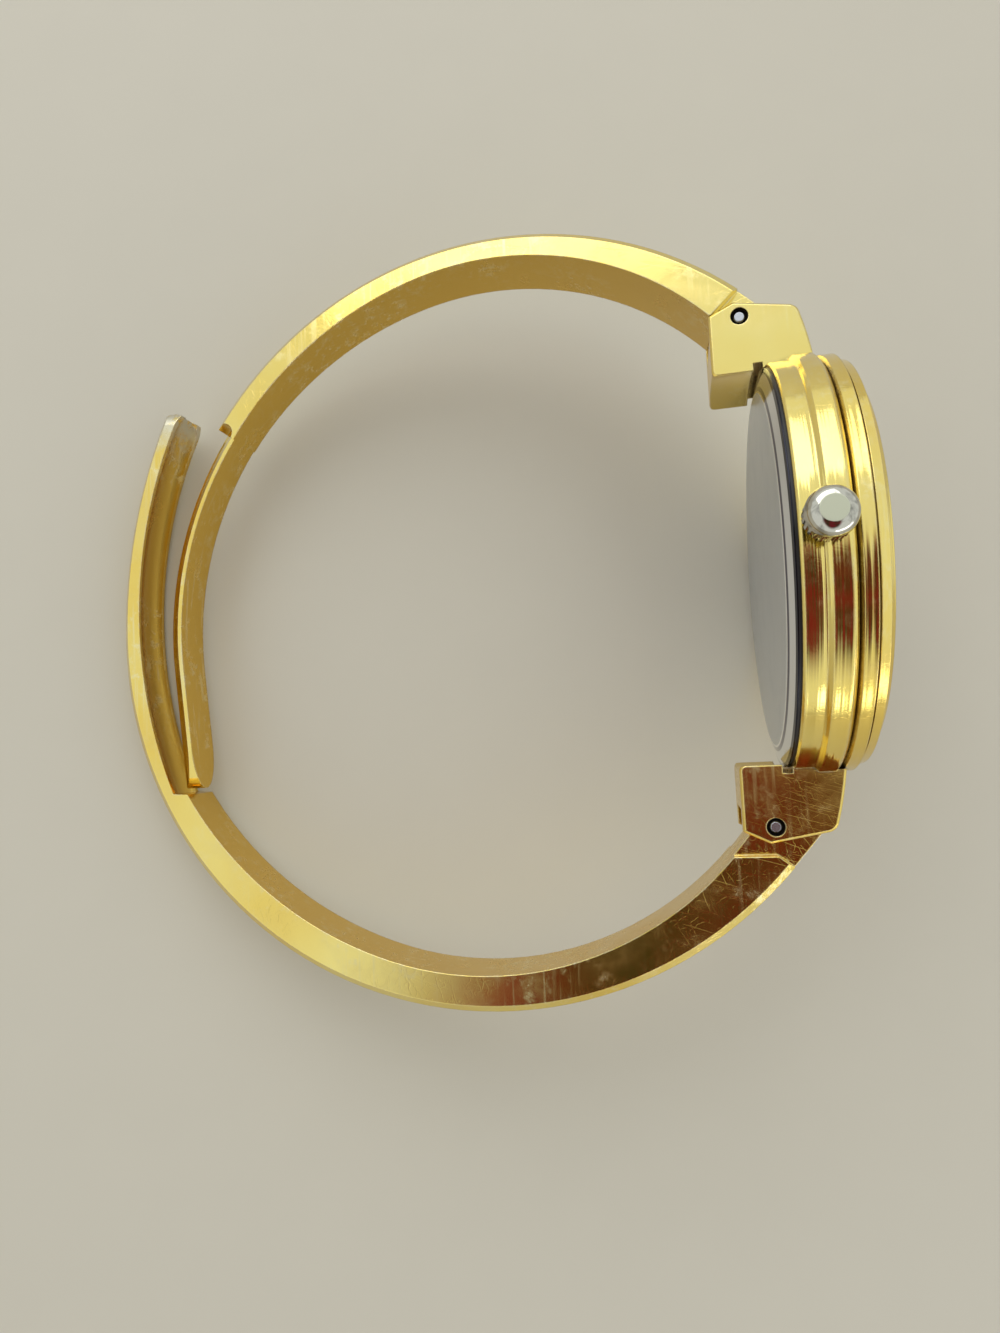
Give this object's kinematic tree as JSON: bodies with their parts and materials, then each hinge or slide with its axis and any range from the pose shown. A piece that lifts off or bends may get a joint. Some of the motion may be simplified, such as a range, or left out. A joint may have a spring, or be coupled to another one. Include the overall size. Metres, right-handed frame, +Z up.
{
  "type": "bangle watch",
  "caption": "Round stepped-case wristwatch on a stiff hinged bangle whose two tapering halves spring open and overlap at the back.",
  "frame": {"origin": "on the table, under the middle of the bounding box of the watch as it lies on its side, crown up", "axes": "+Z up, away from the table and towards the crown side; +X from the overlap at the back of the bangle towards the dial; +Y from 12 towards 6 o'clock"},
  "size_m": [0.0624, 0.0616, 0.0334],
  "materials": {
    "gold_plate": "polished",
    "gold_trim": "polished",
    "steel": "satin",
    "crown_plate": "polished",
    "crystal": "polished",
    "black_rubber": "matte",
    "white_nylon": "satin",
    "dial": "satin",
    "grey_plastic": "matte",
    "brass": "satin",
    "wheel_plastic": "satin",
    "circuit": "satin",
    "chip": "matte",
    "copper": "satin",
    "insulator": "satin"
  },
  "bodies": {
    "case": {"battery": "steel", "battery_clamp": "steel", "battery_insulator": "insulator", "bezel": "gold_plate", "bridge_screws": "steel", "case_back": "steel", "case_back_gasket": "black_rubber", "case_middle": "gold_plate", "circuit_board": "circuit", "circuit_chip": "chip", "coil_core": "steel", "coil_winding": "copper", "crown_gasket": "black_rubber", "crown_tube": "brass", "crystal": "crystal", "crystal_gasket": "white_nylon", "dial": "dial", "dial_markers": "gold_trim", "dial_ring": "gold_trim", "hinge_pin_12": "steel", "hinge_pin_6": "steel", "hinge_spring_12": "steel", "hinge_spring_6": "steel", "main_plate": "brass", "movement_ring": "grey_plastic", "quartz_can": "steel", "stator": "steel", "train_bridge": "steel"},
    "outer_half": {"outer_half": "gold_plate"},
    "inner_half": {"inner_half": "gold_plate"},
    "clutch": {"sliding_pinion": "steel"},
    "crown": {"crown": "crown_plate", "winding_stem": "steel"},
    "setting_lever": {"setting_lever": "steel"},
    "centre_wheel": {"centre_wheel": "brass", "minute_hand": "gold_trim"},
    "minute_wheel": {"minute_wheel": "brass"},
    "hour_wheel": {"hour_wheel": "brass", "hour_hand": "gold_trim"},
    "setting_wheel": {"setting_wheel": "brass"},
    "third_wheel": {"third_wheel": "wheel_plastic"},
    "intermediate_wheel": {"intermediate_wheel": "wheel_plastic"},
    "rotor": {"rotor": "wheel_plastic"}
  },
  "joints": [
    {"name": "outer_half_hinge", "type": "hinge", "parent": "case", "child": "outer_half", "pos_m": [0.02121, -0.01722, 0.0144], "axis": [-0.2359, 0, 0.9718], "range_deg": [0, 45], "stiffness_Nm_per_rad": 0.15},
    {"name": "inner_half_hinge", "type": "hinge", "parent": "case", "child": "inner_half", "pos_m": [0.02121, 0.02058, 0.0144], "axis": [0.2359, 0, -0.9718], "range_deg": [0, 31.6], "stiffness_Nm_per_rad": 0.15},
    {"name": "crown_turn", "type": "hinge", "parent": "case", "child": "clutch", "pos_m": [0.02285, 0.00168, 0.01994], "axis": [-0.2359, 0, 0.9718], "continuous": true},
    {"name": "crown_pull", "type": "slide", "parent": "clutch", "child": "crown", "axis": [-0.2359, 0, 0.9718], "range_m": [0, 0.0008]},
    {"name": "lever_turn", "type": "hinge", "parent": "case", "child": "setting_lever", "pos_m": [0.02231, 0.00348, 0.02218], "axis": [-0.9718, 0, -0.2359], "range_deg": [0, 30.45]},
    {"name": "minute_turn", "type": "hinge", "parent": "case", "child": "centre_wheel", "pos_m": [0.0241, 0.00168, 0.0151], "axis": [-0.9718, 0, -0.2359], "continuous": true},
    {"name": "hour_turn", "type": "hinge", "parent": "case", "child": "hour_wheel", "pos_m": [0.025, 0.00168, 0.01532], "axis": [-0.9718, 0, -0.2359], "continuous": true},
    {"name": "minute_wheel_turn", "type": "hinge", "parent": "case", "child": "minute_wheel", "pos_m": [0.02458, 0.00077, 0.01705], "axis": [-0.9718, 0, -0.2359], "continuous": true},
    {"name": "setting_wheel_turn", "type": "hinge", "parent": "case", "child": "setting_wheel", "pos_m": [0.02408, 0.00168, 0.01911], "axis": [-0.9718, 0, -0.2359], "continuous": true},
    {"name": "third_wheel_turn", "type": "hinge", "parent": "case", "child": "third_wheel", "pos_m": [0.02325, 0.00243, 0.01702], "axis": [-0.9718, 0, -0.2359], "continuous": true},
    {"name": "intermediate_wheel_turn", "type": "hinge", "parent": "case", "child": "intermediate_wheel", "pos_m": [0.02318, 0.0042, 0.01573], "axis": [-0.9718, 0, -0.2359], "continuous": true},
    {"name": "rotor_turn", "type": "hinge", "parent": "case", "child": "rotor", "pos_m": [0.02276, 0.00558, 0.01745], "axis": [-0.9718, 0, -0.2359], "continuous": true}
  ],
  "couplings": [
    {"joint": "inner_half_hinge", "follows": "outer_half_hinge", "ratio": 0.7},
    {"joint": "lever_turn", "follows": "crown_pull", "rad_per_m": 659.91},
    {"joint": "hour_turn", "follows": "minute_turn", "ratio": 0.083333},
    {"joint": "minute_wheel_turn", "follows": "minute_turn", "ratio": -0.33333},
    {"joint": "setting_wheel_turn", "follows": "minute_turn", "ratio": 0.625},
    {"joint": "third_wheel_turn", "follows": "minute_turn", "ratio": -3},
    {"joint": "intermediate_wheel_turn", "follows": "minute_turn", "ratio": 15},
    {"joint": "rotor_turn", "follows": "minute_turn", "ratio": -90}
  ]
}
